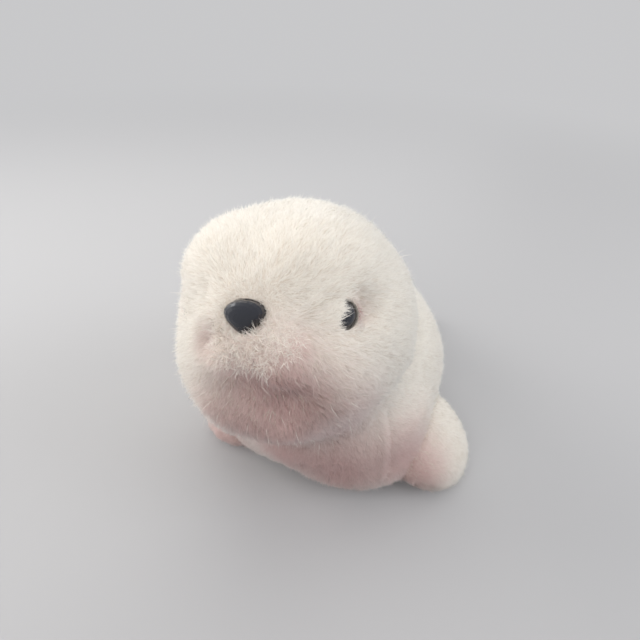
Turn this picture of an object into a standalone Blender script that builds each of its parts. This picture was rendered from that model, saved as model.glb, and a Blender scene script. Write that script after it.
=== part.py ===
# Plush seal pup: a white fur-fabric body with sewn-on flippers and moulded eyes and nose.
# It lies on its belly and faces -Y, +Z is up, and the origin is under the middle of its box.
# Every length is in metres and every angle in degrees.

import math

import bmesh
import bpy
from mathutils import Matrix, Vector
from mathutils.bvhtree import BVHTree

COLLECTION_NAME = "plush_seal"

# Reach of the tools that trim and probe the toy, larger than the toy itself
TOOL_REACH = 0.4

# Clearances between pieces that touch
FIT_GAP = 0.0003
SEAM_GAP = 0.0004

# Head, a stuffed ball that looks up and a little to the seal's right
HEAD_WIDTH = 0.0940
HEAD_DEPTH = 0.0890
HEAD_HEIGHT = 0.0942
HEAD_CENTRE_HEIGHT = 0.0762
HEAD_SETBACK = 0.024
HEAD_SIDE_SHIFT = -0.0066
HEAD_TURN = -3.2
HEAD_TILT = 34.0
HEAD_ROLL = 14.0

# Swellings of the face: azimuth, elevation, radius and how far each stands proud of the ball
# The lean puff is on one side only, where the leaning head lets its stuffing sag
BRIDGE_PUFF = (0.0, 7.0, 0.013, 0.0045)
MUZZLE_PUFF = (15.0, -13.0, 0.0145, 0.0065)
CHIN_PUFF = (0.0, -50.0, 0.026, 0.0045)
CHEEK_PUFF = (42.0, -30.0, 0.024, 0.0045)
LEAN_PUFF = (-37.0, -47.0, 0.026, 0.0058)
BROW_PUFF = (42.0, 36.0, 0.027, 0.0046)
NAPE_PUFF = (180.0, -10.0, 0.036, 0.004)

# Torso, a row of stuffed balls from the chest to the root of the tail
CHEST_WIDTH = 0.106
CHEST_DEPTH = 0.080
CHEST_HEIGHT = 0.074
CHEST_SETBACK = 0.036
CHEST_LIFT = 0.030
BIB_WIDTH = 0.088
BIB_SPACING = 0.027
BIB_DEPTH = 0.079
BIB_HEIGHT = 0.054
BIB_SETBACK = 0.0400
BIB_LIFT = 0.016
BACK_WIDTH = 0.103
BACK_DEPTH = 0.094
BACK_HEIGHT = 0.104
BACK_SETBACK = 0.056
BACK_LIFT = 0.0325
RUMP_WIDTH = 0.078
RUMP_DEPTH = 0.078
RUMP_HEIGHT = 0.062
RUMP_SETBACK = 0.088
RUMP_LIFT = 0.022
TAIL_ROOT_WIDTH = 0.046
TAIL_ROOT_DEPTH = 0.052
TAIL_ROOT_HEIGHT = 0.034
TAIL_ROOT_SETBACK = 0.112
TAIL_ROOT_LIFT = 0.011

# Front flippers, short stuffed lobes: the left stands out from the chest
FLIPPER_LENGTH = 0.054
FLIPPER_BREADTH = 0.046
FLIPPER_THICKNESS = 0.027
FLIPPER_SPREAD = 0.0510
FLIPPER_SETBACK = 0.0430
FLIPPER_LIFT = 0.015
FLIPPER_SWEEP = 10.0
FLIPPER_SLOPE = 32.0

# The right front flipper is swung forward under the chin
FORWARD_SPREAD = 0.0325
FORWARD_SETBACK = 0.0278
FORWARD_LIFT = 0.0125
FORWARD_SWEEP = 75.0
FORWARD_SLOPE = 20.0

# Tail flippers, two flat lobes side by side
TAIL_LOBE_LENGTH = 0.042
TAIL_LOBE_WIDTH = 0.026
TAIL_LOBE_THICKNESS = 0.011
TAIL_LOBE_SPREAD = 0.0145
TAIL_LOBE_SETBACK = 0.133
TAIL_LOBE_LIFT = 0.0058
TAIL_LOBE_SPLAY = 20.0

# Cloth surface
BODY_VOXEL = 0.0050
BODY_SMOOTHING = 5
FLIPPER_VOXEL = 0.0034
FLIPPER_SMOOTHING = 3
TAIL_VOXEL = 0.0028
TAIL_SMOOTHING = 3

# Moulded eyes: a domed button on a ribbed shank
EYE_DIAMETER = 0.0100
EYE_DOME_HEIGHT = 0.0040
EYE_RIM_THICKNESS = 0.0008
EYE_SINK = 0.0030
EYE_AZIMUTH = 40.5
EYE_ELEVATION = 4.0
EYE_SHANK_DIAMETER = 0.0032
EYE_SHANK_LENGTH = 0.0100

# Moulded nose: a rounded triangle on the same kind of shank
NOSE_WIDTH = 0.0165
NOSE_HEIGHT = 0.0114
NOSE_DOME_HEIGHT = 0.0052
NOSE_BACK_THICKNESS = 0.0012
NOSE_TAPER = 0.62
NOSE_SHOULDER = 0.18
NOSE_SINK = 0.0018
NOSE_ELEVATION = 2.0
NOSE_SHANK_DIAMETER = 0.0042
NOSE_SHANK_LENGTH = 0.0110

# Ribs on each shank and the washer that grips them
RIB_HEIGHT = 0.00035
RIB_PITCH = 0.0014
WASHER_DIAMETER = 0.0120
WASHER_THICKNESS = 0.0012
WASHER_DISH = 0.0006
WASHER_SLITS = 4
WASHER_SLIT_WIDTH = 0.0008
WASHER_SLIT_LENGTH = 0.0016
CLOTH_THICKNESS = 0.0020

TURNED_STEPS = 20
MERGE_DISTANCE = 0.00001


def make_material(name, colour, roughness):
    material = bpy.data.materials.new(name)
    material.use_nodes = True
    shader = material.node_tree.nodes["Principled BSDF"]
    shader.inputs["Base Color"].default_value = (*colour, 1.0)
    shader.inputs["Roughness"].default_value = roughness
    shader.inputs["Metallic"].default_value = 0.0
    material.diffuse_color = (*colour, 1.0)
    return material


def turn(degrees, axis):
    return Matrix.Rotation(math.radians(degrees), 4, axis)


def ball(centre, size, frame=Matrix()):
    half = [extent / 2 for extent in size]
    return frame @ Matrix.Translation(centre) @ Matrix.Diagonal((*half, 1.0))


def round_ball(centre, radius, frame=Matrix()):
    return ball(centre, (2 * radius, 2 * radius, 2 * radius), frame)


class Workshop:
    # Holds the collections and the empty that carries every piece
    def __init__(self):
        for old in list(bpy.data.objects):
            bpy.data.objects.remove(old, do_unlink=True)
        self.parts = bpy.data.collections.new(COLLECTION_NAME)
        self.cutters = bpy.data.collections.new(COLLECTION_NAME + "_cutters")
        for collection in (self.parts, self.cutters):
            bpy.context.scene.collection.children.link(collection)
        self.root = bpy.data.objects.new(COLLECTION_NAME + "_root", None)
        self.parts.objects.link(self.root)

    def add_part(self, name, mesh, material, place=Matrix()):
        piece = bpy.data.objects.new(name, mesh)
        mesh.materials.append(material)
        self.parts.objects.link(piece)
        piece.parent = self.root
        piece.matrix_local = place
        return piece

    def add_cutter(self, name, mesh, place=Matrix()):
        cutter = bpy.data.objects.new(name, mesh)
        self.cutters.objects.link(cutter)
        cutter.parent = self.root
        cutter.matrix_local = place
        cutter.hide_render = True
        cutter.display_type = 'WIRE'
        return cutter

    def evaluated(self, piece):
        graph = bpy.context.evaluated_depsgraph_get()
        graph.update()
        return piece.evaluated_get(graph)

    def centre_on_origin(self):
        low = Vector((math.inf, math.inf))
        high = Vector((-math.inf, -math.inf))
        for piece in self.parts.objects:
            if piece.type != 'MESH':
                continue
            shown = self.evaluated(piece)
            for corner in shown.bound_box:
                point = shown.matrix_world @ Vector(corner)
                for axis in (0, 1):
                    low[axis] = min(low[axis], point[axis])
                    high[axis] = max(high[axis], point[axis])
        middle = (low + high) / 2
        self.root.location = (-middle.x, -middle.y, 0.0)
        bpy.context.view_layer.update()


def cut(piece, cutter, name, operation='DIFFERENCE'):
    boolean = piece.modifiers.new(name, 'BOOLEAN')
    boolean.operation = operation
    boolean.object = cutter
    boolean.solver = 'EXACT'
    return boolean


def balls_mesh(name, balls):
    mesh = bpy.data.meshes.new(name)
    shape = bmesh.new()
    for placed in balls:
        bmesh.ops.create_uvsphere(shape, u_segments=36, v_segments=24, radius=1.0, matrix=placed)
    shape.to_mesh(mesh)
    shape.free()
    return mesh


def add_cloth_surface(piece, voxel, smoothing):
    # One closed skin over the joined balls, relaxed as stuffing relaxes cloth
    skin = piece.modifiers.new("Skin", 'REMESH')
    skin.mode = 'VOXEL'
    skin.voxel_size = voxel
    skin.use_smooth_shade = True
    relax = piece.modifiers.new("Relax", 'SMOOTH')
    relax.factor = 0.5
    relax.iterations = smoothing


def box_mesh(name, low, high):
    mesh = bpy.data.meshes.new(name)
    shape = bmesh.new()
    size = [top - bottom for top, bottom in zip(high, low)]
    centre = [(top + bottom) / 2 for top, bottom in zip(high, low)]
    place = Matrix.Translation(centre) @ Matrix.Diagonal((*size, 1.0))
    bmesh.ops.create_cube(shape, size=1.0, matrix=place)
    shape.to_mesh(mesh)
    shape.free()
    return mesh


def profile_mesh(name, points):
    mesh = bpy.data.meshes.new(name)
    vertices = [(radius, 0.0, height) for radius, height in points]
    edges = [(index, index + 1) for index in range(len(points) - 1)]
    mesh.from_pydata(vertices, edges, [])
    return mesh


def spin(piece):
    screw = piece.modifiers.new("Turned", 'SCREW')
    screw.steps = TURNED_STEPS
    screw.render_steps = TURNED_STEPS
    screw.use_merge_vertices = True
    screw.merge_threshold = MERGE_DISTANCE
    screw.use_smooth_shade = False
    return screw


def head_frame():
    place = Matrix.Translation((HEAD_SIDE_SHIFT, HEAD_SETBACK, HEAD_CENTRE_HEIGHT))
    return place @ turn(-HEAD_TURN, 'Z') @ turn(-HEAD_TILT, 'X') @ turn(-HEAD_ROLL, 'Y')


def face_direction(azimuth, elevation):
    return turn(azimuth, 'Z').to_3x3() @ turn(-elevation, 'X').to_3x3() @ Vector((0, -1, 0))


def puff(swelling, side, frame):
    # A small ball let into the head so that it stands proud by the stated amount
    azimuth, elevation, radius, proud = swelling
    outward = face_direction(side * azimuth, elevation)
    half = Vector((HEAD_WIDTH, HEAD_DEPTH, HEAD_HEIGHT)) / 2
    scaled = Vector([part / extent for part, extent in zip(outward, half)])
    centre = outward * (1.0 / scaled.length + proud - radius)
    return round_ball(centre, radius, frame)


def head_balls():
    frame = head_frame()
    balls = [ball((0, 0, 0), (HEAD_WIDTH, HEAD_DEPTH, HEAD_HEIGHT), frame)]
    balls += [puff(swelling, 1, frame) for swelling in (BRIDGE_PUFF, CHIN_PUFF, NAPE_PUFF, LEAN_PUFF)]
    for side in (-1, 1):
        balls += [puff(swelling, side, frame) for swelling in (MUZZLE_PUFF, CHEEK_PUFF, BROW_PUFF)]
    return balls


def torso_balls():
    bib = (BIB_WIDTH, BIB_DEPTH, BIB_HEIGHT)
    return [
        ball((0, CHEST_SETBACK, CHEST_LIFT), (CHEST_WIDTH, CHEST_DEPTH, CHEST_HEIGHT)),
        ball((-BIB_SPACING / 2, BIB_SETBACK, BIB_LIFT), bib),
        ball((BIB_SPACING / 2, BIB_SETBACK, BIB_LIFT), bib),
        ball((0, BACK_SETBACK, BACK_LIFT), (BACK_WIDTH, BACK_DEPTH, BACK_HEIGHT)),
        ball((0, RUMP_SETBACK, RUMP_LIFT), (RUMP_WIDTH, RUMP_DEPTH, RUMP_HEIGHT)),
        ball(
            (0, TAIL_ROOT_SETBACK, TAIL_ROOT_LIFT),
            (TAIL_ROOT_WIDTH, TAIL_ROOT_DEPTH, TAIL_ROOT_HEIGHT),
        ),
    ]


def seat_on_face(surface, azimuth, elevation, sink):
    # Square to the cloth where a line from the head's centre leaves it, sunk into the pile
    frame = head_frame()
    facing = frame.to_3x3()
    outward = facing @ face_direction(azimuth, elevation)
    hit, outward = surface.ray_cast(frame.translation + outward * TOOL_REACH, -outward)[:2]
    side = (facing @ Vector((0, 0, 1))).cross(outward).normalized()
    place = Matrix((side, outward.cross(side), outward)).transposed().to_4x4()
    place.translation = hit - outward * sink
    return place


def shank_profile(diameter, length, top):
    # Ribs run down the shank like a ratchet, with a pointed end
    core = diameter / 2 - RIB_HEIGHT
    rim = diameter / 2
    start = top - CLOTH_THICKNESS
    count = max(1, int((length - CLOTH_THICKNESS - RIB_PITCH) / RIB_PITCH))
    points = [(core, top)]
    for rib in range(count):
        height = start - rib * RIB_PITCH
        points.append((core, height))
        points.append((rim, height - RIB_PITCH * 0.3))
    points.append((core, top - length + RIB_PITCH * 0.6))
    points.append((0.0, top - length))
    return points


def eye_profile():
    radius = EYE_DIAMETER / 2
    points = []
    for step in range(7):
        angle = math.pi / 2 * step / 6
        height = EYE_RIM_THICKNESS + EYE_DOME_HEIGHT * math.cos(angle)
        points.append((radius * math.sin(angle), height))
    points.append((radius, 0.0))
    return points + shank_profile(EYE_SHANK_DIAMETER, EYE_SHANK_LENGTH, 0.0)


def socket_profile(seat_radius, seat_mouth, shank_diameter, shank_length):
    # Seat for the button, hole for its shank, pocket for the washer behind the cloth
    shank = shank_diameter / 2 + FIT_GAP
    washer = WASHER_DIAMETER / 2 + FIT_GAP
    washer_top = -CLOTH_THICKNESS
    washer_bottom = washer_top - WASHER_THICKNESS - WASHER_DISH - 2 * FIT_GAP
    end = -shank_length - FIT_GAP
    points = [(0.0, seat_mouth), (seat_radius, seat_mouth), (seat_radius, -FIT_GAP)]
    points += [(shank, -FIT_GAP), (shank, washer_top)]
    points += [(washer, washer_top), (washer, washer_bottom)]
    points += [(shank, washer_bottom), (shank, end), (0.0, end)]
    return points


def washer_profile(shank_diameter):
    hole = shank_diameter / 2 + FIT_GAP
    rim = WASHER_DIAMETER / 2
    top = -CLOTH_THICKNESS - FIT_GAP
    inner_top = top - WASHER_DISH
    points = [(hole, inner_top), (rim, top), (rim, top - WASHER_THICKNESS)]
    points += [(hole, inner_top - WASHER_THICKNESS), (hole, inner_top)]
    return points


def build_washer(shop, name, place, shank_diameter, material):
    washer = shop.add_part(name, profile_mesh(name, washer_profile(shank_diameter)), material, place)
    spin(washer)
    reach = shank_diameter / 2 + FIT_GAP + WASHER_SLIT_LENGTH
    half = WASHER_SLIT_WIDTH / 2
    for pair in range(WASHER_SLITS // 2):
        slit = box_mesh(name + "_slit", (-reach, -half, -EYE_SHANK_LENGTH), (reach, half, 0.0))
        turned = place @ turn(360.0 / WASHER_SLITS * (pair + 0.1), 'Z')
        cut(washer, shop.add_cutter(name + "_slit", slit, turned), "Slit")


def nose_mesh(name, grow=0.0, front=None):
    # A ball squeezed to a rounded triangle that points down, with a flat back
    mesh = bpy.data.meshes.new(name)
    shape = bmesh.new()
    bmesh.ops.create_uvsphere(shape, u_segments=24, v_segments=12, radius=1.0)
    for vertex in shape.verts:
        across, along, out = vertex.co
        narrow = 1.0 - NOSE_TAPER * (1.0 - along) / 2
        shoulder = 1.0 + NOSE_SHOULDER * (1.0 - along * along)
        vertex.co.x = NOSE_WIDTH / 2 * across * narrow * shoulder + math.copysign(grow, across)
        vertex.co.y = NOSE_HEIGHT / 2 * along + math.copysign(grow, along)
        ahead = out > MERGE_DISTANCE
        if front is None:
            vertex.co.z = NOSE_BACK_THICKNESS + NOSE_DOME_HEIGHT * out if ahead else 0.0
        else:
            vertex.co.z = front if ahead else -FIT_GAP
    bmesh.ops.remove_doubles(shape, verts=shape.verts, dist=MERGE_DISTANCE)
    shape.to_mesh(mesh)
    shape.free()
    return mesh


def build_body(shop, material, floor):
    body = shop.add_part("body", balls_mesh("body", torso_balls() + head_balls()), material)
    add_cloth_surface(body, BODY_VOXEL, BODY_SMOOTHING)
    surface = BVHTree.FromObject(body, bpy.context.evaluated_depsgraph_get())
    grown = shop.add_cutter("body_clearance", body.data)
    add_cloth_surface(grown, BODY_VOXEL, BODY_SMOOTHING)
    swell = grown.modifiers.new("Seam gap", 'DISPLACE')
    swell.mid_level = 0.0
    swell.strength = SEAM_GAP
    cut(body, floor, "Flat belly")
    return body, surface, grown


def build_flipper(shop, name, size, place, skin, material, trims):
    # A stuffed lobe whose inner end is closed against the body along the seam
    flipper = shop.add_part(name, balls_mesh(name, [ball((0, 0, 0), size, place)]), material)
    add_cloth_surface(flipper, *skin)
    for trim in trims:
        cut(flipper, trim, "Trim")


def flipper_place(side):
    if side > 0:
        stand = Matrix.Translation((FLIPPER_SPREAD, FLIPPER_SETBACK, FLIPPER_LIFT))
        return stand @ turn(-FLIPPER_SWEEP, 'Z') @ turn(FLIPPER_SLOPE, 'Y')
    stand = Matrix.Translation((-FORWARD_SPREAD, FORWARD_SETBACK, FORWARD_LIFT))
    return stand @ turn(FORWARD_SWEEP, 'Z') @ turn(-FORWARD_SLOPE, 'Y')


def build_flippers(shop, material, trims):
    front = (FLIPPER_LENGTH, FLIPPER_BREADTH, FLIPPER_THICKNESS)
    front_skin = (FLIPPER_VOXEL, FLIPPER_SMOOTHING)
    tail = (TAIL_LOBE_WIDTH, TAIL_LOBE_LENGTH, TAIL_LOBE_THICKNESS)
    tail_skin = (TAIL_VOXEL, TAIL_SMOOTHING)
    for side, label in ((1, "left"), (-1, "right")):
        build_flipper(shop, "front_flipper_" + label, front, flipper_place(side), front_skin, material, trims)
        place = Matrix.Translation((side * TAIL_LOBE_SPREAD, TAIL_LOBE_SETBACK, TAIL_LOBE_LIFT))
        place = place @ turn(-side * TAIL_LOBE_SPLAY, 'Z')
        build_flipper(shop, "tail_flipper_" + label, tail, place, tail_skin, material, trims)


def cut_socket(shop, body, name, profile, place):
    socket = shop.add_cutter(name, profile_mesh(name, profile), place)
    spin(socket)
    cut(body, socket, "Socket")


def build_eyes(shop, body, surface, gloss, plain):
    seat = EYE_DIAMETER / 2 + FIT_GAP
    socket = socket_profile(seat, EYE_DIAMETER, EYE_SHANK_DIAMETER, EYE_SHANK_LENGTH)
    for side, label in ((1, "left"), (-1, "right")):
        place = seat_on_face(surface, side * EYE_AZIMUTH, EYE_ELEVATION, EYE_SINK)
        eye = shop.add_part("eye_" + label, profile_mesh("eye", eye_profile()), gloss, place)
        spin(eye)
        build_washer(shop, "eye_washer_" + label, place, EYE_SHANK_DIAMETER, plain)
        cut_socket(shop, body, "eye_socket_" + label, socket, place)


def build_nose(shop, body, surface, gloss, plain):
    place = seat_on_face(surface, 0.0, NOSE_ELEVATION, NOSE_SINK)
    nose = shop.add_part("nose", nose_mesh("nose"), gloss, place)
    core = NOSE_SHANK_DIAMETER / 2 - RIB_HEIGHT
    shank = [(0.0, NOSE_BACK_THICKNESS), (core, NOSE_BACK_THICKNESS)]
    shank += shank_profile(NOSE_SHANK_DIAMETER, NOSE_SHANK_LENGTH, 0.0)[1:]
    post = shop.add_cutter("nose_post", profile_mesh("nose_post", shank), place)
    spin(post)
    cut(nose, post, "Shank", 'UNION')
    build_washer(shop, "nose_washer", place, NOSE_SHANK_DIAMETER, plain)
    seat = shop.add_cutter("nose_seat", nose_mesh("nose_seat", FIT_GAP, NOSE_WIDTH), place)
    cut(body, seat, "Nose seat")
    shank_hole = NOSE_SHANK_DIAMETER / 2 + FIT_GAP
    socket = socket_profile(shank_hole, 0.0, NOSE_SHANK_DIAMETER, NOSE_SHANK_LENGTH)
    cut_socket(shop, body, "nose_socket", socket, place)


def main():
    shop = Workshop()
    fur = make_material("white_pile_fabric", (0.86, 0.80, 0.72), 0.95)
    gloss = make_material("black_gloss_plastic", (0.012, 0.014, 0.02), 0.12)
    plain = make_material("pale_washer_plastic", (0.80, 0.80, 0.78), 0.45)

    low = (-TOOL_REACH, -TOOL_REACH, -TOOL_REACH)
    floor = shop.add_cutter("floor", box_mesh("floor", low, (TOOL_REACH, TOOL_REACH, 0.0)))
    body, surface, grown = build_body(shop, fur, floor)
    build_flippers(shop, fur, (grown, floor))
    build_eyes(shop, body, surface, gloss, plain)
    build_nose(shop, body, surface, gloss, plain)
    shop.centre_on_origin()


main()
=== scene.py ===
import math

import bmesh
import bpy
import numpy as np
from mathutils import Matrix, Vector
from mathutils.bvhtree import BVHTree


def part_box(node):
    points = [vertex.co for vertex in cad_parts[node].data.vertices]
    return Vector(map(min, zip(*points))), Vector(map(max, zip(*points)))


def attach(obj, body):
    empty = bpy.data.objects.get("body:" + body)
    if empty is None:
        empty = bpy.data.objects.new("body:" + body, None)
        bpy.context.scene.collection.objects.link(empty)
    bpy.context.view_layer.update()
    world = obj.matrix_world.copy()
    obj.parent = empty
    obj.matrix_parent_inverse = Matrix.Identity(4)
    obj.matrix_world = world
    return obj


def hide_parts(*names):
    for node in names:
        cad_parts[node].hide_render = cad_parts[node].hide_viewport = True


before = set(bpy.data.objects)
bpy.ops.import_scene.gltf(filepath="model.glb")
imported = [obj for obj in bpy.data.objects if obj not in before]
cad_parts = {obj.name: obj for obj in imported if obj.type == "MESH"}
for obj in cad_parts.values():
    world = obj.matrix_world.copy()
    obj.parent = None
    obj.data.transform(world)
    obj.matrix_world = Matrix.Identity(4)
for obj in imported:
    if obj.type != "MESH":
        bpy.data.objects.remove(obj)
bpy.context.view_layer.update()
print("frame loaded:", len(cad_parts), "nodes")


# Shader maths, one wrapper for sockets

class Wire:
    def __init__(self, sheet, socket):
        self.sheet = sheet
        self.socket = socket

    def maths(self, operation, other, flip=False):
        values = [other, self] if flip else [self, other]
        return self.sheet.node("ShaderNodeMath", {"operation": operation}, values)

    def __add__(self, other):
        return self.maths("ADD", other)

    def __radd__(self, other):
        return self.maths("ADD", other, flip=True)

    def __sub__(self, other):
        return self.maths("SUBTRACT", other)

    def __rsub__(self, other):
        return self.maths("SUBTRACT", other, flip=True)

    def __mul__(self, other):
        return self.maths("MULTIPLY", other)

    def __rmul__(self, other):
        return self.maths("MULTIPLY", other, flip=True)


class Sheet:
    # The node tree of a material or of the world
    def __init__(self, owner):
        owner.use_nodes = True
        self.owner = owner
        self.tree = owner.node_tree
        self.shader = self.tree.nodes.get("Principled BSDF")

    def node(self, kind, settings=None, inputs=(), output=0):
        made = self.tree.nodes.new(kind)
        for key, value in (settings or {}).items():
            setattr(made, key, value)
        pairs = inputs.items() if isinstance(inputs, dict) else enumerate(inputs)
        for key, value in pairs:
            self.feed(made.inputs[key], value)
        return Wire(self, made.outputs[output])

    def feed(self, socket, value):
        if isinstance(value, Wire):
            self.tree.links.new(value.socket, socket)
        elif hasattr(socket.default_value, "__len__") and len(socket.default_value) == 4:
            socket.default_value = (*value[:3], 1.0)
        else:
            socket.default_value = value

    def mixColour(self, factor, first, second, blend="MIX"):
        settings = {"data_type": "RGBA", "blend_type": blend}
        return self.node("ShaderNodeMix", settings, {0: factor, 6: first, 7: second}, output=2)

    def set(self, **values):
        for key, value in values.items():
            self.feed(self.shader.inputs[key.replace("_", " ")], value)
        return self.owner


# Camera, at the height and angle of the photograph

cameraRig = {
    "place": (0.0587, -0.1763, 0.2000),
    "turn": 25.0,
    "tilt": 38.5,
    "roll": 3.0,
    "lens": 27.06,
    "sensor": 36.0,
    "near": 0.01,
}


def makeCamera():
    turn, tilt, roll = (math.radians(cameraRig[key]) for key in ("turn", "tilt", "roll"))
    data = bpy.data.cameras.new("camera")
    data.lens = cameraRig["lens"]
    data.sensor_width = cameraRig["sensor"]
    data.clip_start = cameraRig["near"]
    camera = bpy.data.objects.new("camera", data)
    bpy.context.scene.collection.objects.link(camera)
    spin = Matrix.Rotation(turn, 4, "Z") @ Matrix.Rotation(math.pi / 2 - tilt, 4, "X")
    camera.matrix_world = Matrix.Translation(cameraRig["place"]) @ spin @ Matrix.Rotation(roll, 4, "Z")
    bpy.context.scene.camera = camera


makeCamera()
print("camera set")


# Coordinates of the face, worked out from the moulded nose and eyes

def middle(node):
    low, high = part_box(node)
    return (low + high) / 2


noseSpot = middle("nose")
eyeSpots = [middle("eye_left"), middle("eye_right")]

face = {
    "tilt": 34.0,
    "noseReach": 0.045,
    "headRadius": 0.050,
    "neckBlend": 0.012,
}
faceTilt = math.radians(face["tilt"])
facing = Vector((0.0, -math.cos(faceTilt), math.sin(faceTilt)))
headCentre = noseSpot - facing * face["noseReach"]
faceAcross = (eyeSpots[0] - eyeSpots[1]).normalized()
faceMiddle = (eyeSpots[0] + eyeSpots[1]) / 2


def smoothStep(low, high, values):
    part = np.clip((values - low) / (high - low), 0.0, 1.0)
    return part * part * (3.0 - 2.0 * part)


def unit(vectors):
    return vectors / np.maximum(np.linalg.norm(vectors, axis=1, keepdims=True), 1e-9)


def waveField(points, wavelength, seed, channels, waves=14, spread=(0.7, 1.5)):
    # Smooth random values in space, a sum of plane waves
    rng = np.random.default_rng(seed)
    total = np.zeros((len(points), channels))
    for _ in range(waves):
        way = rng.normal(size=3)
        way *= 2 * math.pi / (wavelength * rng.uniform(*spread)) / np.linalg.norm(way)
        phase = rng.uniform(0, 2 * math.pi, size=channels)
        total += np.sin((points @ way)[:, None] + phase)
    return total / math.sqrt(waves / 2)


# Places on the toy, found through the photograph's pixels

photo = {"width": 640, "focal": 481.0}  # Both in pixels


def photoRay(pixel):
    across = (pixel[0] - photo["width"] / 2) / photo["focal"]
    down = (pixel[1] - photo["width"] / 2) / photo["focal"]
    camera = bpy.context.scene.camera.matrix_world
    return camera.translation, (camera.to_3x3() @ Vector((across, -down, -1.0))).normalized()


def treeOf(mesh):
    corners = [point.co for point in mesh.vertices]
    return BVHTree.FromPolygons(corners, [polygon.vertices for polygon in mesh.polygons])


softNodes = ("body", "front_flipper_left", "front_flipper_right", "tail_flipper_left", "tail_flipper_right")
softTrees = [treeOf(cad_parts[node].data) for node in softNodes]
mouldedTrees = {node: treeOf(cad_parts[node].data) for node in ("nose", "eye_left", "eye_right")}


def onToy(pixel):
    # The nearest place on the soft pieces behind a pixel
    hits = [tree.ray_cast(*photoRay(pixel)) for tree in softTrees]
    return np.array(min((hit for hit in hits if hit[0]), key=lambda hit: hit[3])[0])


def mirrored(spot):
    # The same place on the other side of the face
    spot = Vector(spot)
    return np.array(spot - 2 * (spot - faceMiddle).dot(faceAcross) * faceAcross)


def placesOf(mark):
    spot = onToy(mark["at"])
    return (spot, mirrored(spot)) if mark.get("both") else (spot,)


# Skins, the woven backing under the pile

skinWeave = {
    "creaseAngle": 50.0,
    "mergeDistance": 0.00001,
    "mouldedReach": 0.0060,  # No pressing this near the middle of the nose or an eye
    "mouldedFade": 0.0035,
    "floorReach": (0.001, 0.006),
    "bodyLevels": 2,
    "flipperLevels": 1,
    "fill": 0.75,
}

# Swellings and hollows pressed into the skin: pixel, radius and height
stuffing = {
    "muzzlePuffRight": {"at": (212, 321), "radius": 0.0070, "height": 0.0016},
    "muzzlePuffLeft": {"at": (270, 331), "radius": 0.0075, "height": 0.0020},
    "muzzleHollowRight": {"at": (206, 338), "radius": 0.0060, "height": -0.0050},
    "muzzleHollowLeft": {"at": (297, 330), "radius": 0.0075, "height": -0.0018},
    "tuft": {"at": (247, 349), "radius": 0.0090, "height": 0.0016},
    "underTuft": {"at": (243, 378), "radius": 0.0130, "height": -0.0018},
    "lowerLip": {"at": (285, 380), "radius": 0.0070, "height": 0.0024},
    "chinHollow": {"at": (284, 400), "radius": 0.0115, "height": -0.0030},
    "jawLeft": {"at": (332, 378), "radius": 0.0140, "height": 0.0024},
    "jawRight": {"at": (212, 402), "radius": 0.0090, "height": 0.0010},
    "chinRoll": {"at": (288, 428), "radius": 0.0120, "height": 0.0016},
    "eyeHollow": {"at": (363, 309), "radius": 0.0070, "height": -0.0040, "both": True},
    "crownDip": {"at": (296, 212), "radius": 0.0120, "height": -0.0010},
    "foreheadFill": {"at": (297, 270), "radius": 0.0130, "height": 0.0018, "both": True},
}

# Seams and creases pressed into the skin: pixels along the line, width and depth
seamLines = {
    "chinCrease": {"line": ((283, 394), (283, 405), (286, 418)), "width": 0.0090, "depth": 0.0020},
    "chestSeam": {
        "line": ((382, 412), (387, 433), (387, 455), (385, 474)), "width": 0.0034, "depth": 0.0007},
    "chestRidge": {
        "line": ((377, 412), (381, 433), (382, 455), (380, 474)), "width": 0.0040, "depth": -0.0008},
    "neckFold": {
        "line": ((412, 330), (405, 362), (390, 386), (372, 406)), "width": 0.0080, "depth": 0.0012},
}


def distanceTo(points, spot):
    return np.linalg.norm(points - np.array(spot), axis=1)


def alongLine(points, line):
    # Distance to a chain of straight stretches
    nearest = np.full(len(points), np.inf)
    for start, end in zip(line[:-1], line[1:]):
        way = end - start
        share = np.clip((points - start) @ way / (way @ way), 0, 1)
        nearest = np.minimum(nearest, np.linalg.norm(points - start - share[:, None] * way, axis=1))
    return nearest


def pressSkin(mesh):
    # Moves the skin along its normals, and leaves it alone beside the nose, eyes and floor
    points, normals, _ = surfaceOf(mesh)
    move = np.zeros(len(points))
    for mark in stuffing.values():
        for place in placesOf(mark):
            move += mark["height"] * np.exp(-((distanceTo(points, place) / mark["radius"]) ** 2))
    for seam in seamLines.values():
        line = [onToy(pixel) for pixel in seam["line"]]
        move -= seam["depth"] * np.exp(-((alongLine(points, line) / (seam["width"] / 2)) ** 2))
    reach, fade = skinWeave["mouldedReach"], skinWeave["mouldedFade"]
    for node in mouldedTrees:
        move *= smoothStep(reach, reach + fade, distanceTo(points, middle(node)))
    move *= smoothStep(*skinWeave["floorReach"], points[:, 2])
    points += normals * move[:, None]
    mesh.vertices.foreach_set("co", points.astype(np.float32).ravel())
    mesh.update()


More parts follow.
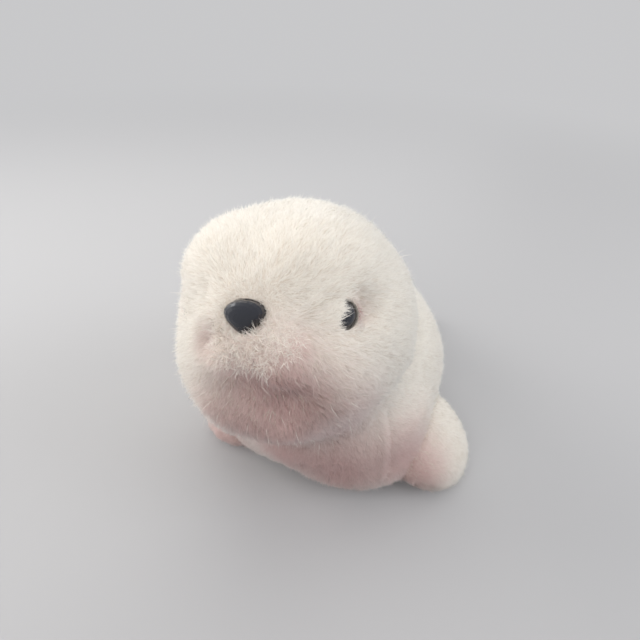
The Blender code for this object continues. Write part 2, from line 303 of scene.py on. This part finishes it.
def makeSkin(name, node, press=False):
    # The node's own form, rounded between its facets, with its sockets and flat foot kept crisp
    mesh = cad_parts[node].data.copy()
    mesh.name = name
    mesh.materials.clear()
    shape = bmesh.new()
    shape.from_mesh(mesh)
    bmesh.ops.remove_doubles(shape, verts=shape.verts, dist=skinWeave["mergeDistance"])
    layers = shape.edges.layers.float
    crease = layers.get("crease_edge") or layers.new("crease_edge")
    sharp = math.radians(skinWeave["creaseAngle"])
    for edge in shape.edges:
        if len(edge.link_faces) == 2 and edge.calc_face_angle(0.0) > sharp:
            edge[crease] = 1.0
    shape.to_mesh(mesh)
    shape.free()
    skin = bpy.data.objects.new(name, mesh)
    bpy.context.scene.collection.objects.link(skin)
    rounding = skin.modifiers.new("rounding", "SUBSURF")
    rounding.levels = skinWeave["bodyLevels"] if press else skinWeave["flipperLevels"]
    rounding.render_levels = rounding.levels
    graph = bpy.context.evaluated_depsgraph_get()
    smooth = bpy.data.meshes.new_from_object(skin.evaluated_get(graph))
    skin.modifiers.clear()
    skin.data = smooth
    smooth.name = name
    if press:
        pressSkin(smooth)
    smooth.shade_smooth()
    smooth.set_sharp_from_angle(angle=sharp)
    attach(skin, "root")
    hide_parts(node)
    return skin


# Pile, leaf-shaped fibres rooted in a skin

pileLook = {
    "width": 0.00024,
    "widthSpread": (0.75, 1.25),
    "rootDepth": 0.0003,
    "floorGap": 0.0003,
    "strips": 6,
    "stripInset": 0.06,
    "tintWidth": 0.004,
    "tintSpread": 0.05,
    "leanWaves": ((0.0045, 11, 0.22), (0.016, 12, 0.20)),  # Length, seed and strength
    "swingSpread": 0.30,
    "liftWave": 0.25,
    "liftSpread": 0.16,
    "liftRange": (0.12, 1.5),
    "lengthSpread": 0.16,
    "lengthRange": (0.5, 1.4),
    "droop": 0.45,  # How far the upper half of a fibre bends over, in radians
    "droopSpread": 0.22,
    "droopRange": (0.02, 1.4),
    "rollSpread": 0.5,
    "rollRange": (-0.9, 0.9),
    "normalLean": 0.30,
    "normalSpread": 0.11,
}


def surfaceOf(mesh):
    mesh.calc_loop_triangles()
    points = np.empty(len(mesh.vertices) * 3)
    mesh.vertices.foreach_get("co", points)
    normals = np.empty(len(mesh.vertices) * 3)
    mesh.vertices.foreach_get("normal", normals)
    corners = np.empty(len(mesh.loop_triangles) * 3, dtype=np.int32)
    mesh.loop_triangles.foreach_get("vertices", corners)
    return points.reshape(-1, 3), normals.reshape(-1, 3), corners.reshape(-1, 3)


def scatterRoots(mesh, count, rng, keep):
    # Even cover by area; keep says which share of the roots stay at a place
    points, normals, corners = surfaceOf(mesh)
    a, b, c = (points[corners[:, index]] for index in range(3))
    areas = np.linalg.norm(np.cross(b - a, c - a), axis=1) / 2
    centres = (a + b + c) / 3
    areas = areas * keep(centres)
    chosen = rng.choice(len(areas), size=count, p=areas / areas.sum())
    first, second = rng.random(count), rng.random(count)
    over = first + second > 1
    first[over], second[over] = 1 - first[over], 1 - second[over]
    third = 1 - first - second
    weights = (third, first, second)
    spots = sum(weights[index][:, None] * points[corners[chosen, index]] for index in range(3))
    ways = sum(weights[index][:, None] * normals[corners[chosen, index]] for index in range(3))
    return spots, unit(ways)


def fibreShapes(roots, normals, comb, length, lift, rng, thin):
    # Each fibre widens from its root to the knee and narrows to its tip
    count = len(roots)
    tangent = unit(comb - normals * np.sum(comb * normals, axis=1, keepdims=True))
    side = np.cross(normals, tangent)
    waves = [waveField(roots, wave, seed, 2) * strength for wave, seed, strength in pileLook["leanWaves"]]
    lean = sum(waves)
    swing = lean[:, 0] + rng.normal(0, pileLook["swingSpread"], count)
    tangent = tangent * np.cos(swing)[:, None] + side * np.sin(swing)[:, None]
    rise = lift + lean[:, 1] * pileLook["liftWave"] + rng.normal(0, pileLook["liftSpread"], count)
    rise = np.clip(rise, *pileLook["liftRange"])
    stretch = 1 + rng.normal(0, pileLook["lengthSpread"], count)
    stretch = length * np.clip(stretch, *pileLook["lengthRange"])
    start = tangent * np.cos(rise)[:, None] + normals * np.sin(rise)[:, None]
    fall = rise - pileLook["droop"] + rng.normal(0, pileLook["droopSpread"], count)
    fall = np.clip(fall, *pileLook["droopRange"])
    finish = tangent * np.cos(fall)[:, None] + normals * np.sin(fall)[:, None]
    base = roots - normals * pileLook["rootDepth"]
    knee = base + start * (stretch * 0.5)[:, None]
    tip = knee + finish * (stretch * 0.5)[:, None]
    roll = np.clip(rng.normal(0, pileLook["rollSpread"], count), *pileLook["rollRange"])[:, None]
    wide = unit(np.cross(start, normals + 1e-4))
    wide = unit(wide * np.cos(roll) + np.cross(start, wide) * np.sin(roll))
    half = (thin * pileLook["width"] / 2 * rng.uniform(*pileLook["widthSpread"], count))[:, None] * wide
    points = np.stack([base, knee - half, knee + half, tip], axis=1)
    points[:, :, 2] = np.maximum(points[:, :, 2], pileLook["floorGap"])
    return points, start, wide


def fibreMap(tint, rng):
    # Across the map by tint, the share of painted rosy shade, and from root to tip up one of its strips
    strip = rng.integers(0, pileLook["strips"], len(tint))
    inset = pileLook["stripInset"]
    low = (strip + inset) / pileLook["strips"]
    high = (strip + 1 - inset) / pileLook["strips"]
    knee = (low + high) / 2
    halfTint = pileLook["tintWidth"] / 2
    centre = np.clip(tint, halfTint, 1 - halfTint)
    left, right = centre - halfTint, centre + halfTint
    corners = [(centre, low), (right, knee), (left, knee), (left, knee), (right, knee), (centre, high)]
    return np.stack([np.stack(pair, axis=1) for pair in corners], axis=1)


def growPile(name, roots, normals, comb, length, lift, tint, rng, thin=1.0, single=0.0):
    # Two triangles a fibre; single is the share of a fibre's own normal in its shading
    count = len(roots)
    points, start, wide = fibreShapes(roots, normals, comb, length, lift, rng, thin)
    loops = (np.arange(count)[:, None] * 4 + np.array([0, 2, 1, 1, 2, 3])).ravel()
    mesh = bpy.data.meshes.new(name)
    mesh.vertices.add(count * 4)
    mesh.vertices.foreach_set("co", points.astype(np.float32).ravel())
    mesh.loops.add(len(loops))
    mesh.loops.foreach_set("vertex_index", loops.astype(np.int32))
    mesh.polygons.add(count * 2)
    mesh.polygons.foreach_set("loop_start", np.arange(0, count * 6, 3, dtype=np.int32))
    mesh.update(calc_edges=True)
    layer = mesh.uv_layers.new(name="OFBake")
    layer.data.foreach_set("uv", fibreMap(tint, rng).astype(np.float32).ravel())
    mesh.shade_smooth()
    own = np.cross(wide, start)
    own *= np.sign(np.sum(own * normals, axis=1, keepdims=True))
    scatter = rng.normal(0, pileLook["normalSpread"], start.shape)
    soft = unit(normals * (1 - single) + own * single + start * pileLook["normalLean"] + scatter)
    mesh.normals_split_custom_set_from_vertices(np.repeat(soft, 4, axis=0).astype(np.float32))
    mesh.materials.append(pileMaterial)
    pile = bpy.data.objects.new(name, mesh)
    bpy.context.scene.collection.objects.link(pile)
    pile.visible_shadow = False
    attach(pile, "root")
    print(name, count, "fibres")


# Cream tips are the pile's own colour; the darker roots are painted shade deep in the pile, and the rose
# colours are a painted rosy shade
pileColours = {
    "creamRoot": (0.70, 0.64, 0.56),
    "creamTip": (0.93, 0.91, 0.85),
    "roseShadeRoot": (0.46, 0.275, 0.255),
    "roseShadeTip": (0.67, 0.45, 0.43),
    "toneLow": 0.96,
    "toneSpan": 0.07,
    "sheen": 0.25,
    "roughness": 0.85,
}


def makePileMaterial():
    # Across the map runs cream to a painted rosy shade, up each strip runs root to tip; the darker roots are
    # painted shade deep in the pile
    sheet = Sheet(bpy.data.materials.new("pileFibre"))
    place = sheet.node("ShaderNodeUVMap", {"uv_map": "OFBake"})
    across = sheet.node("ShaderNodeSeparateXYZ", {}, [place])
    upward = sheet.node("ShaderNodeSeparateXYZ", {}, [place], output=1) * pileLook["strips"]
    along = sheet.node("ShaderNodeMath", {"operation": "FRACT"}, [upward])
    strip = sheet.node("ShaderNodeMath", {"operation": "FLOOR"}, [upward])
    cream = sheet.mixColour(along, pileColours["creamRoot"], pileColours["creamTip"])
    rose = sheet.mixColour(along, pileColours["roseShadeRoot"], pileColours["roseShadeTip"])
    colour = sheet.mixColour(across, cream, rose)
    shade = pileColours["toneLow"] + strip * (pileColours["toneSpan"] / pileLook["strips"])
    grey = sheet.node("ShaderNodeCombineXYZ", {}, [shade, shade, shade])
    colour = sheet.mixColour(1.0, colour, grey, "MULTIPLY")
    sheet.shader.inputs["Sheen Weight"].default_value = pileColours["sheen"]
    return sheet.set(Base_Color=colour, Roughness=pileColours["roughness"])


backingLook = {
    "dark": (0.62, 0.55, 0.48),
    "light": (0.80, 0.74, 0.67),
    "knitScale": 900.0,
    "knitStrength": 0.4,
    "knitDepth": 0.0003,
    "roughness": 0.95,
}


def makeBackingMaterial():
    # Knitted backing, seen only between the fibres; its knit varies at random, and its colours are darker
    # than the pile as painted shade between the fibres
    sheet = Sheet(bpy.data.materials.new("knitBacking"))
    spot = sheet.node("ShaderNodeTexCoord", output=3)
    settings = {"Vector": spot, "Scale": backingLook["knitScale"], "Detail": 2.0}
    knit = sheet.node("ShaderNodeTexNoise", {}, settings)
    colour = sheet.mixColour(knit, backingLook["dark"], backingLook["light"])
    settings = {"Strength": backingLook["knitStrength"], "Distance": backingLook["knitDepth"], "Height": knit}
    bump = sheet.node("ShaderNodeBump", {}, settings)
    return sheet.set(Base_Color=colour, Roughness=backingLook["roughness"], Normal=bump)


pileMaterial = makePileMaterial()
backingMaterial = makeBackingMaterial()


combing = {
    "back": (0.0, 0.75, -0.65),  # Way of the pile on the torso
    "looseNear": (0.016, 0.009),
    "looseTuft": 0.5,
    "looseness": (1.2, 0.6),
    "inwardNear": (0.0135, 0.0100),  # Under the nose the pile turns in towards it
    "inwardBelow": (-0.002, -0.007),
    "inwardTurn": 1.6,
}


def headShare(points):
    # 1 on the head and 0 on the torso
    rim = face["headRadius"]
    return 1 - smoothStep(rim, rim + face["neckBlend"], distanceTo(points, headCentre))


def combWay(points, rng):
    # Brushed away from the nose, back and down along the body, and any way right beside the nose
    away = unit(points - np.array(noseSpot))
    share = headShare(points)[:, None]
    loose = smoothStep(*combing["looseNear"], distanceTo(points, noseSpot))
    loose = np.maximum(loose, combing["looseTuft"] * tuftShare(points))[:, None]
    inward = smoothStep(*combing["inwardNear"], distanceTo(points, noseSpot))
    inward *= smoothStep(*combing["inwardBelow"], points[:, 2] - noseSpot.z)
    away = away * (1 - combing["inwardTurn"] * inward[:, None])
    strength, spread = combing["looseness"]
    tousle = strength * loose * rng.normal(0, spread, points.shape)
    return unit(away * share + np.array(combing["back"]) * (1 - share) + tousle)


# Painted rosy shade on the pile, in the hollows, under the muzzle and chin, on the chest and under the feet:
# pixel, radius and strength
paintedShade = {
    "muzzle": {"at": (255, 372), "radius": 0.0140, "strength": 0.90},
    "puffShade": {"at": (205, 339), "radius": 0.0048, "strength": 0.80, "both": True},
    "lip": {"at": (284, 382), "radius": 0.0080, "strength": 0.80},
    "chin": {"at": (290, 405), "radius": 0.0185, "strength": 0.90},
    "cheek": {"at": (345, 412), "radius": 0.0140, "strength": 0.50},
    "jaw": {"at": (222, 410), "radius": 0.0120, "strength": 0.60},
    "chinEdgeRight": {"at": (252, 427), "radius": 0.0110, "strength": 0.70},
    "chinEdge": {"at": (292, 435), "radius": 0.0130, "strength": 0.90},
    "chinEdgeLeft": {"at": (336, 426), "radius": 0.0130, "strength": 0.75},
    "throat": {"at": (285, 450), "radius": 0.0190, "strength": 1.0},
    "chest": {"at": (335, 468), "radius": 0.0230, "strength": 1.0},
    "side": {"at": (398, 455), "radius": 0.0180, "strength": 0.80, "both": True},
    "foot": {"at": (416, 475), "radius": 0.0130, "strength": 0.70, "both": True},
    "eyeShade": {"at": (359, 311), "radius": 0.0045, "strength": 0.75, "both": True},
}

tuft = {
    "pixels": ((222, 350), (244, 353), (263, 354), (281, 342)),
    "radius": 0.0060,
    "longer": 0.15,
    "paler": 0.25,
    "fibres": 2200,
    "seed": 31,
    "length": 0.0052,
    "lengthSpread": (0.7, 1.2),
    "rootShare": 0.35,
    "wildWay": (0.0, -0.3, 0.2),
    "lift": 0.85,
    # Random share of painted rosy shade on the tuft's fibres
    "tints": (0.0, 0.35),
    "thin": 0.9,
    "single": 0.5,
}


def tuftShare(points):
    # The loose tuft of longer pile under the nose
    nearest = np.min([distanceTo(points, spot) for spot in tuftSpots], axis=0)
    return np.exp(-((nearest / tuft["radius"]) ** 2))


def paintedShadeShare(points):
    # Soft patches of painted rosy shade on the pile of the lower face, the chest and the feet, a little less
    # on the tuft
    cream = np.ones(len(points))
    for mark in paintedShade.values():
        for place in placesOf(mark):
            nearness = np.exp(-((distanceTo(points, place) / mark["radius"]) ** 2))
            cream *= 1 - mark["strength"] * nearness
    return (1 - cream) * (1 - tuft["paler"] * tuftShare(points))


tuftSpots = [onToy(pixel) for pixel in tuft["pixels"]]


mouldedGap = {"near": 0.014, "look": 0.010, "start": 0.0002}


def openRoots(points, normals, skinTree):
    # No pile grows inside the sockets, under the nose or under an eye
    keep = np.ones(len(points), dtype=bool)
    for node, tree in mouldedTrees.items():
        for index in np.flatnonzero(distanceTo(points, middle(node)) < mouldedGap["near"]):
            way = Vector(normals[index])
            start = Vector(points[index]) + way * mouldedGap["start"]
            covered = tree.ray_cast(start, way, mouldedGap["look"])[0] is not None
            walled = skinTree.ray_cast(start, way, mouldedGap["look"])[0] is not None
            if covered or walled:
                keep[index] = False
    return keep


pileTrim = {
    "noseReach": (0.007, 0.017),
    "noseShort": 0.45,  # Share cut off right beside the nose
    "eyeReach": (0.012, 0.006),
    "eyeInner": (0.0, 0.004),
    "eyeLonger": 0.35,
    "eyeShorter": 0.45,
}


def pileLength(points):
    share = headShare(points)
    length = pileSizes["head"] * share + pileSizes["torso"] * (1 - share)
    trim = smoothStep(*pileTrim["noseReach"], distanceTo(points, noseSpot))
    length *= (1 - pileTrim["noseShort"]) + pileTrim["noseShort"] * trim
    length *= 1 + tuft["longer"] * tuftShare(points)
    for spot in eyeSpots:
        towardsNose = unit(np.array([noseSpot - spot]))[0]
        inner = smoothStep(*pileTrim["eyeInner"], (points - np.array(spot)) @ towardsNose)
        near = smoothStep(*pileTrim["eyeReach"], distanceTo(points, spot))
        length *= 1 + near * (pileTrim["eyeLonger"] * inner - pileTrim["eyeShorter"] * (1 - inner))
    return length


pilePatches = {
    "facePile": {"count": 96000, "seed": 1},
    "crownPile": {"count": 90000, "seed": 2},
    "chestPile": {"count": 56000, "seed": 3},
    "backPile": {"count": 92000, "seed": 4},
}

pileSizes = {
    "head": 0.0043,
    "torso": 0.0036,
    "flipper": 0.0032,
    "lift": 0.72,
    "noseLift": 1.15,
    "noseLiftNear": (0.016, 0.009),
    "hem": 0.0008,
    "headSplit": (0.003, -0.003),  # Face to crown
    "chestBack": 0.004,
}


def patchTint(roots, rng):
    # The share of painted rosy shade at each root, with a random spread of tone
    return np.clip(paintedShadeShare(roots) + rng.normal(0, pileLook["tintSpread"], len(roots)), 0, 1)


def patchShare(name, points):
    front = smoothStep(*pileSizes["headSplit"], (points - np.array(headCentre)) @ np.array(facing))
    head = headShare(points) > 0.5
    if name == "facePile":
        return head & (front < 0.5)
    if name == "crownPile":
        return head & (front >= 0.5)
    chest = points[:, 1] < headCentre.y + pileSizes["chestBack"]
    if name == "chestPile":
        return ~head & chest
    return ~head & ~chest


def growBodyPile(skin):
    skinTree = treeOf(skin.data)
    for name, patch in pilePatches.items():
        rng = np.random.default_rng(patch["seed"])
        keep = lambda points: patchShare(name, points) & (points[:, 2] > pileSizes["hem"])
        roots, normals = scatterRoots(skin.data, patch["count"], rng, keep)
        outside = openRoots(roots, normals, skinTree)
        roots, normals = roots[outside], normals[outside]
        beside = smoothStep(*pileSizes["noseLiftNear"], distanceTo(roots, noseSpot))
        lift = pileSizes["lift"] + (pileSizes["noseLift"] - pileSizes["lift"]) * beside
        tint = patchTint(roots, rng)
        growPile(name, roots, normals, combWay(roots, rng), pileLength(roots), lift, tint, rng)


eyeFringe = {
    "fibres": 3200,
    "inner": 0.0030,
    "outer": 0.0085,
    "length": 0.0070,
    "lift": 0.50,
    "tints": (0.0, 0.1),
}


def growTuftAndFringe(skin):
    # Loose fibres that stand up under the nose, and longer ones that fall over the inner half of each eye
    skinTree = treeOf(skin.data)
    rng = np.random.default_rng(tuft["seed"])
    near = lambda points: tuftShare(points) > tuft["rootShare"]
    roots, normals = scatterRoots(skin.data, tuft["fibres"], rng, near)
    wild = unit(rng.normal(0, 1, roots.shape) + np.array(tuft["wildWay"]))
    length = tuft["length"] * rng.uniform(*tuft["lengthSpread"], len(roots))
    tint = rng.uniform(*tuft["tints"], len(roots))
    look = (tuft["thin"], tuft["single"])
    growPile("muzzleTuft", roots, normals, wild, length, tuft["lift"], tint, rng, *look)
    for side, spot in zip(("Left", "Right"), eyeSpots):
        inward = unit(np.array([noseSpot - spot]))[0]
        ring = lambda points: (distanceTo(points, spot) < eyeFringe["outer"]) & (
            (points - np.array(spot)) @ inward > eyeFringe["inner"])
        roots, normals = scatterRoots(skin.data, eyeFringe["fibres"], rng, ring)
        outside = openRoots(roots, normals, skinTree)
        roots, normals = roots[outside], normals[outside]
        way = np.array(spot) - roots
        length = np.full(len(roots), eyeFringe["length"])
        tint = rng.uniform(*eyeFringe["tints"], len(roots))
        growPile("eyeFringe" + side, roots, normals, way, length, eyeFringe["lift"], tint, rng)


noseFringe = {
    "fibres": 1600,
    "seed": 37,
    "outer": 0.0105,
    "below": 0.0010,
    "length": 0.0034,
    "lengthSpread": (0.6, 1.2),
    "waySpread": 0.35,
    "lift": 0.75,
    "tints": (0.0, 0.15),
}


def growNoseFringe(skin):
    # Short fibres that lap over the lower edges of the nose
    skinTree = treeOf(skin.data)
    rng = np.random.default_rng(noseFringe["seed"])
    centre = np.array(noseSpot)
    ring = lambda points: (distanceTo(points, centre) < noseFringe["outer"]) & (
        points[:, 2] < centre[2] - noseFringe["below"])
    roots, normals = scatterRoots(skin.data, noseFringe["fibres"], rng, ring)
    outside = openRoots(roots, normals, skinTree)
    roots, normals = roots[outside], normals[outside]
    inward = unit(centre - roots) + rng.normal(0, noseFringe["waySpread"], roots.shape)
    length = noseFringe["length"] * rng.uniform(*noseFringe["lengthSpread"], len(roots))
    tint = rng.uniform(*noseFringe["tints"], len(roots))
    growPile("noseFringe", roots, normals, inward, length, noseFringe["lift"], tint, rng)


strayHairs = {
    "count": 420,
    "seed": 41,
    "length": 0.0072,
    "lengthSpread": (0.6, 1.1),
    "lift": 1.05,
    "thin": 0.6,
    "single": 0.8,
    "tints": (0.0, 0.05),
    "topPixel": (297, 207),
    "topLength": 0.0095,
}


def growStrayHairs(skin):
    # Single hairs that stand out of the pile, the longest on the crown
    rng = np.random.default_rng(strayHairs["seed"])
    onHead = lambda points: headShare(points) > 0.5
    roots, normals = scatterRoots(skin.data, strayHairs["count"], rng, onHead)
    length = strayHairs["length"] * rng.uniform(*strayHairs["lengthSpread"], len(roots))
    nearest = np.argmin(distanceTo(roots, onToy(strayHairs["topPixel"])))
    length[nearest] = strayHairs["topLength"]
    tint = rng.uniform(*strayHairs["tints"], len(roots))
    way = combWay(roots, rng)
    look = (strayHairs["thin"], strayHairs["single"])
    growPile("strayHairs", roots, normals, way, length, strayHairs["lift"], tint, rng, *look)


flipperPiles = {
    "front_flipper_left": {"skin": "frontFlipperSkinLeft", "pile": "frontFlipperPileLeft", "count": 26000},
    "front_flipper_right": {"skin": "frontFlipperSkinRight", "pile": "frontFlipperPileRight", "count": 20000},
    "tail_flipper_left": {"skin": "tailFlipperSkinLeft", "pile": "tailFlipperPileLeft", "count": 14000},
    "tail_flipper_right": {"skin": "tailFlipperSkinRight", "pile": "tailFlipperPileRight", "count": 14000},
}
flipperComb = {"height": 0.03, "firstSeed": 20}


def growFlipperPile(name, skin, count, seed):
    rng = np.random.default_rng(seed)
    keep = lambda points: points[:, 2] > pileSizes["hem"]
    roots, normals = scatterRoots(skin.data, count, rng, keep)
    way = unit(roots - np.array([0.0, roots[:, 1].mean(), flipperComb["height"]]))
    length = np.full(len(roots), pileSizes["flipper"])
    growPile(name, roots, normals, way, length, pileSizes["lift"], patchTint(roots, rng), rng)


bodySkin = makeSkin("bodySkin", "body", press=True)
bodySkin.data.materials.append(backingMaterial)
growBodyPile(bodySkin)
growTuftAndFringe(bodySkin)
growNoseFringe(bodySkin)
growStrayHairs(bodySkin)

for seed, (node, piece) in enumerate(flipperPiles.items(), start=flipperComb["firstSeed"]):
    skin = makeSkin(piece["skin"], node)
    skin.data.materials.append(backingMaterial)
    growFlipperPile(piece["pile"], skin, piece["count"], seed)


# Moulded nose, eyes and washers

glossLook = {
    "colour": (0.016, 0.018, 0.026),
    "roughness": 0.16,
    "haze": 0.08,
    "hazeScale": 400.0,
    "coat": 0.5,
    "coatRoughness": 0.03,
    "shine": 0.4,
}


def makeGlossMaterial():
    sheet = Sheet(bpy.data.materials.new("blackGloss"))
    spot = sheet.node("ShaderNodeTexCoord", output=3)
    settings = {"Vector": spot, "Scale": glossLook["hazeScale"], "Detail": 3.0}
    haze = sheet.node("ShaderNodeTexNoise", {}, settings)
    roughness = glossLook["roughness"] + haze * glossLook["haze"]
    sheet.shader.inputs["Coat Weight"].default_value = glossLook["coat"]
    sheet.shader.inputs["Coat Roughness"].default_value = glossLook["coatRoughness"]
    sheet.shader.inputs["Specular IOR Level"].default_value = glossLook["shine"]
    return sheet.set(Base_Color=glossLook["colour"], Roughness=roughness)


washerLook = {
    "dark": (0.70, 0.70, 0.67),
    "light": (0.82, 0.82, 0.80),
    "grainScale": 600.0,
    "roughness": 0.35,
    "roughnessSpan": 0.2,
}


def makeWasherMaterial():
    sheet = Sheet(bpy.data.materials.new("washerPlastic"))
    spot = sheet.node("ShaderNodeTexCoord", output=3)
    settings = {"Vector": spot, "Scale": washerLook["grainScale"], "Detail": 2.0}
    grain = sheet.node("ShaderNodeTexNoise", {}, settings)
    colour = sheet.mixColour(grain, washerLook["dark"], washerLook["light"])
    roughness = washerLook["roughness"] + grain * washerLook["roughnessSpan"]
    return sheet.set(Base_Color=colour, Roughness=roughness)


def dress(node, material):
    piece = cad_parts[node]
    piece.data.materials.clear()
    piece.data.materials.append(material)


glossMaterial = makeGlossMaterial()
washerMaterial = makeWasherMaterial()
for node in ("nose", "eye_left", "eye_right"):
    dress(node, glossMaterial)
for node in ("nose_washer", "eye_washer_left", "eye_washer_right"):
    dress(node, washerMaterial)
print("moulded pieces dressed")


# Floor, lamps and the pale surroundings

studio = {
    "floorColour": (0.46, 0.46, 0.47),
    "farColour": (0.58, 0.58, 0.59),
    "floorSize": 4.0,
    "floorRoughness": 0.6,
    "fadeStart": 0.10,
    "fadeEnd": 0.75,
    "worldStrength": 0.46,
    "worldColour": (0.97, 0.98, 1.0),
    "lampAim": (0.0, -0.02, 0.05),
}

lamps = {
    "topSoftbox": {
        "place": (-0.10, 0.25, 0.80), "wide": 0.8, "high": 0.8, "power": 2.6, "colour": (1.0, 0.98, 0.94)},
    "leftSoftbox": {
        "place": (-0.70, -0.15, 0.36), "wide": 0.5, "high": 0.5, "power": 3.4, "colour": (1.0, 0.97, 0.93)},
    "rightSoftbox": {
        "place": (0.65, 0.20, 0.40), "wide": 0.4, "high": 0.4, "power": 2.4, "colour": (0.97, 0.98, 1.0)},
    "frontSoftbox": {
        "place": (-0.15, -0.70, 0.60), "wide": 0.6, "high": 0.4, "power": 2.0, "colour": (1.0, 0.97, 0.95)},
    "glossStrip": {
        "place": (-0.62, 0.42, 0.36), "wide": 1.8, "high": 0.07, "power": 4.8, "colour": (1.0, 1.0, 1.0),
        "glossOnly": True},
}


def seenDirectly(sheet):
    # 1 for what the camera sees, straight or in gloss or through a clear piece
    seen = sheet.node("ShaderNodeLightPath", output="Is Camera Ray")
    gloss = sheet.node("ShaderNodeLightPath", output="Is Glossy Ray")
    clear = sheet.node("ShaderNodeLightPath", output="Is Transmission Ray")
    return sheet.node("ShaderNodeClamp", {}, [seen + gloss + clear])


def makeFloor():
    # Lit and shadowed near the toy, and an even pale grey far from it
    mesh = bpy.data.meshes.new("floor")
    shape = bmesh.new()
    bmesh.ops.create_grid(shape, x_segments=1, y_segments=1, size=studio["floorSize"])
    shape.to_mesh(mesh)
    shape.free()
    floor = bpy.data.objects.new("floor", mesh)
    bpy.context.scene.collection.objects.link(floor)
    sheet = Sheet(bpy.data.materials.new("paleFloor"))
    mesh.materials.append(sheet.set(Base_Color=studio["floorColour"], Roughness=studio["floorRoughness"]))
    spot = sheet.node("ShaderNodeTexCoord", output="Object")
    away = sheet.node("ShaderNodeVectorMath", {"operation": "LENGTH"}, [spot], output="Value")
    fade = (away - studio["fadeStart"]) * (1.0 / (studio["fadeEnd"] - studio["fadeStart"]))
    fade = sheet.node("ShaderNodeClamp", {}, [fade])
    fade = fade * fade * (3.0 - fade * 2.0) * seenDirectly(sheet)
    lit = Wire(sheet, sheet.shader.outputs[0])
    glow = sheet.node("ShaderNodeEmission", {}, {"Color": studio["farColour"], "Strength": 1.0})
    both = sheet.node("ShaderNodeMixShader", {}, [fade, lit, glow])
    sheet.feed(sheet.tree.nodes["Material Output"].inputs["Surface"], both)


def makeLamps():
    for name, lamp in lamps.items():
        data = bpy.data.lights.new(name, "AREA")
        data.energy = lamp["power"]
        data.shape = "RECTANGLE"
        data.size = lamp["wide"]
        data.size_y = lamp["high"]
        data.color = lamp["colour"]
        item = bpy.data.objects.new(name, data)
        bpy.context.scene.collection.objects.link(item)
        item.location = lamp["place"]
        aim = Vector(studio["lampAim"]) - item.location
        item.rotation_euler = aim.to_track_quat("-Z", "Y").to_euler()
        item.visible_glossy = "glossOnly" in lamp
        item.visible_diffuse = "glossOnly" not in lamp


def makeWorld():
    # Even light from all round, seen by the camera as the far floor's grey
    world = bpy.data.worlds.new("surroundings")
    bpy.context.scene.world = world
    sheet = Sheet(world)
    light = {"Color": studio["worldColour"], "Strength": studio["worldStrength"]}
    lighting = sheet.node("ShaderNodeBackground", {}, light)
    backdrop = sheet.node("ShaderNodeBackground", {}, {"Color": studio["farColour"], "Strength": 1.0})
    both = sheet.node("ShaderNodeMixShader", {}, [seenDirectly(sheet), lighting, backdrop])
    sheet.feed(sheet.tree.nodes["World Output"].inputs["Surface"], both)


makeFloor()
makeLamps()
makeWorld()
bpy.context.scene.view_settings.view_transform = "Standard"
print("studio lit")
